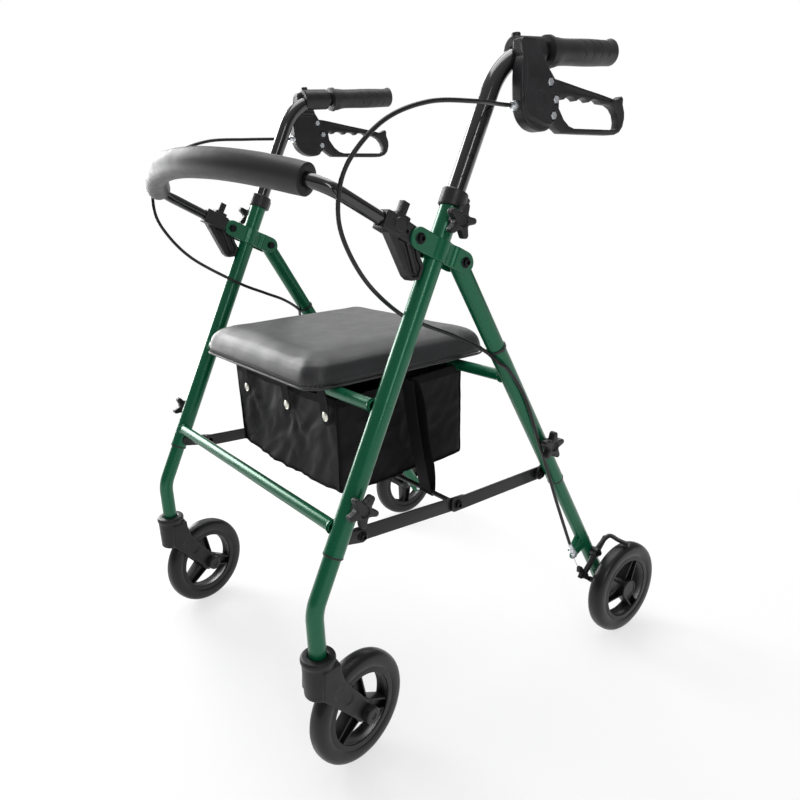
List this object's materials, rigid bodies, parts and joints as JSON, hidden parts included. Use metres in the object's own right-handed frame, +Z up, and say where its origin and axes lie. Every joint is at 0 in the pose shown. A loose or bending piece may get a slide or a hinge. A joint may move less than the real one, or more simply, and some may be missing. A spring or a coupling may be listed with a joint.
{
  "type": "rollator walker",
  "caption": "Folding rollator walker with a padded seat, a bowed back bar, an under-seat basket, height-adjustable handles, loop brakes and swivelling front wheels.",
  "frame": {"origin": "on the ground, in the centre plane, under the middle of the whole walker's bounding box", "axes": "+Z up; -Y is the way the walker is pushed; +X is its left side"},
  "size_m": [0.617, 0.6532, 0.8999],
  "materials": {
    "green_paint": "gloss metallic",
    "black_steel": "satin black",
    "gloss_black": "gloss black",
    "steel": "zinc plated",
    "dark_bolt": "black oxide",
    "black_plastic": "moulded, fine texture",
    "wheel_plastic": "moulded",
    "tyre_rubber": "matt",
    "grip_rubber": "matt ribbed",
    "seat_vinyl": "grained vinyl",
    "foam": "closed-cell foam",
    "black_nylon": "woven nylon",
    "cable_sheath": "smooth sheath"
  },
  "bodies": {
    "frame": {"front_frame": "green_paint", "front_leg_left": "green_paint", "front_leg_right": "green_paint", "tube_collar_left": "black_plastic", "tube_collar_right": "black_plastic", "hinge_pin_left": "dark_bolt", "hinge_pin_right": "dark_bolt", "backrest_bolt_left": "dark_bolt", "backrest_bolt_right": "dark_bolt", "basket": "black_nylon", "brake_cable_left": "cable_sheath", "brake_cable_right": "cable_sheath"},
    "rear": {"rear_frame": "green_paint", "rear_leg_left": "green_paint", "rear_leg_right": "green_paint", "rear_axle_left": "steel", "rear_axle_right": "steel"},
    "front_links": {"front_link_left": "black_steel", "front_link_right": "black_steel", "cross_rod": "steel", "fold_strap": "black_nylon"},
    "rear_links": {"rear_link_left": "black_steel", "rear_link_right": "black_steel"},
    "seat": {"seat_board": "black_plastic", "seat_pad": "seat_vinyl"},
    "backrest": {"backrest_tube": "gloss_black", "backrest_pad": "foam", "backrest_bracket_left": "black_plastic", "backrest_bracket_right": "black_plastic"},
    "caster_left": {"fork_left": "black_plastic", "front_axle_left": "dark_bolt"},
    "front_wheel_left": {"front_tyre_left": "tyre_rubber", "front_wheel_hub_left": "wheel_plastic"},
    "rear_wheel_left": {"rear_tyre_left": "tyre_rubber", "rear_wheel_hub_left": "wheel_plastic"},
    "handle_left": {"handle_tube_left": "gloss_black", "grip_left": "grip_rubber", "brake_housing_left": "black_plastic"},
    "lever_left": {"brake_lever_left": "black_plastic"},
    "brake_arm_left": {"brake_arm_left": "black_steel"},
    "handle_knob_left": {"handle_knob_left": "black_plastic"},
    "front_leg_knob_left": {"front_leg_knob_left": "black_plastic"},
    "rear_leg_knob_left": {"rear_leg_knob_left": "black_plastic"},
    "release_button_left": {"release_button_left": "black_plastic"},
    "caster_right": {"fork_right": "black_plastic", "front_axle_right": "dark_bolt"},
    "front_wheel_right": {"front_tyre_right": "tyre_rubber", "front_wheel_hub_right": "wheel_plastic"},
    "rear_wheel_right": {"rear_tyre_right": "tyre_rubber", "rear_wheel_hub_right": "wheel_plastic"},
    "handle_right": {"handle_tube_right": "gloss_black", "grip_right": "grip_rubber", "brake_housing_right": "black_plastic"},
    "lever_right": {"brake_lever_right": "black_plastic"},
    "brake_arm_right": {"brake_arm_right": "black_steel"},
    "handle_knob_right": {"handle_knob_right": "black_plastic"},
    "front_leg_knob_right": {"front_leg_knob_right": "black_plastic"},
    "rear_leg_knob_right": {"rear_leg_knob_right": "black_plastic"},
    "release_button_right": {"release_button_right": "black_plastic"}
  },
  "joints": [
    {"name": "rear_fold", "type": "hinge", "parent": "frame", "child": "rear", "pos_m": [0, -0.06773, 0.63493], "axis": [1, 0, 0], "range_deg": [-34, 0], "deforming": ["basket", "brake_cable_left", "brake_cable_right", "fold_strap"]},
    {"name": "front_link_fold", "type": "hinge", "parent": "frame", "child": "front_links", "pos_m": [0, -0.21975, 0.3137], "axis": [1, 0, 0], "range_deg": [0, 48.5]},
    {"name": "rear_link_fold", "type": "hinge", "parent": "rear", "child": "rear_links", "pos_m": [0, 0.10345, 0.3036], "axis": [1, 0, 0], "range_deg": [-57.3, 0]},
    {"name": "seat_lift", "type": "hinge", "parent": "frame", "child": "seat", "pos_m": [0, -0.19405, 0.4773], "axis": [1, 0, 0], "range_deg": [0, 80]},
    {"name": "back_flip", "type": "hinge", "parent": "frame", "child": "backrest", "pos_m": [0, -0.13399, 0.66787], "axis": [1, 0, 0], "range_deg": [-60, 0]},
    {"name": "caster_swivel_left", "type": "hinge", "parent": "frame", "child": "caster_left", "pos_m": [0.248, -0.30155, 0.15], "axis": [0, 0, 1], "continuous": true},
    {"name": "front_wheel_spin_left", "type": "hinge", "parent": "caster_left", "child": "front_wheel_left", "pos_m": [0.23793, -0.24443, 0.0762], "axis": [0.9848, 0.1736, 0], "continuous": true},
    {"name": "rear_wheel_spin_left", "type": "hinge", "parent": "rear", "child": "rear_wheel_left", "pos_m": [0.292, 0.25045, 0.0769], "axis": [1, 0, 0], "continuous": true},
    {"name": "handle_height_left", "type": "slide", "parent": "frame", "child": "handle_left", "axis": [0, 0.4451, 0.8955], "range_m": [-0.1016, 0.0508]},
    {"name": "brake_squeeze_left", "type": "hinge", "parent": "handle_left", "child": "lever_left", "pos_m": [0.266, 0.04845, 0.8165], "axis": [1, 0, 0], "range_deg": [0, 13]},
    {"name": "brake_shoe_left", "type": "hinge", "parent": "rear", "child": "brake_arm_left", "pos_m": [0.2635, 0.21445, 0.142], "axis": [1, 0, 0], "range_deg": [-4.5, 0]},
    {"name": "handle_knob_turn_left", "type": "hinge", "parent": "frame", "child": "handle_knob_left", "pos_m": [0.2607, -0.08441, 0.6845], "axis": [1, 0, 0], "continuous": true},
    {"name": "front_leg_knob_turn_left", "type": "hinge", "parent": "frame", "child": "front_leg_knob_left", "pos_m": [0.2607, -0.24142, 0.3686], "axis": [1, 0, 0], "continuous": true},
    {"name": "rear_leg_knob_turn_left", "type": "hinge", "parent": "rear", "child": "rear_leg_knob_left", "pos_m": [0.26, 0.08831, 0.36268], "axis": [1, 0, 0], "continuous": true},
    {"name": "back_release_left", "type": "slide", "parent": "backrest", "child": "release_button_left", "axis": [0, -0.4863, -0.8738], "range_m": [0, 0.003]},
    {"name": "caster_swivel_right", "type": "hinge", "parent": "frame", "child": "caster_right", "pos_m": [-0.248, -0.30155, 0.15], "axis": [0, 0, 1], "continuous": true},
    {"name": "front_wheel_spin_right", "type": "hinge", "parent": "caster_right", "child": "front_wheel_right", "pos_m": [-0.26203, -0.24528, 0.0762], "axis": [0.9703, 0.2419, 0], "continuous": true},
    {"name": "rear_wheel_spin_right", "type": "hinge", "parent": "rear", "child": "rear_wheel_right", "pos_m": [-0.292, 0.25045, 0.0769], "axis": [1, 0, 0], "continuous": true},
    {"name": "handle_height_right", "type": "slide", "parent": "frame", "child": "handle_right", "axis": [0, 0.4451, 0.8955], "range_m": [-0.1016, 0.0508]},
    {"name": "brake_squeeze_right", "type": "hinge", "parent": "handle_right", "child": "lever_right", "pos_m": [-0.266, 0.04845, 0.8165], "axis": [1, 0, 0], "range_deg": [0, 13]},
    {"name": "brake_shoe_right", "type": "hinge", "parent": "rear", "child": "brake_arm_right", "pos_m": [-0.2635, 0.21445, 0.142], "axis": [1, 0, 0], "range_deg": [-4.5, 0]},
    {"name": "handle_knob_turn_right", "type": "hinge", "parent": "frame", "child": "handle_knob_right", "pos_m": [-0.2607, -0.08441, 0.6845], "axis": [1, 0, 0], "continuous": true},
    {"name": "front_leg_knob_turn_right", "type": "hinge", "parent": "frame", "child": "front_leg_knob_right", "pos_m": [-0.2607, -0.24142, 0.3686], "axis": [1, 0, 0], "continuous": true},
    {"name": "rear_leg_knob_turn_right", "type": "hinge", "parent": "rear", "child": "rear_leg_knob_right", "pos_m": [-0.26, 0.08831, 0.36268], "axis": [1, 0, 0], "continuous": true},
    {"name": "back_release_right", "type": "slide", "parent": "backrest", "child": "release_button_right", "axis": [0, -0.4863, -0.8738], "range_m": [0, 0.003]}
  ],
  "couplings": [
    {"joint": "front_link_fold", "follows": "rear_fold", "ratio": -1.4257},
    {"joint": "rear_link_fold", "follows": "rear_fold", "ratio": 1.6852},
    {"joint": "brake_shoe_left", "follows": "brake_squeeze_left", "ratio": -0.33},
    {"joint": "brake_shoe_right", "follows": "brake_squeeze_right", "ratio": -0.33}
  ]
}
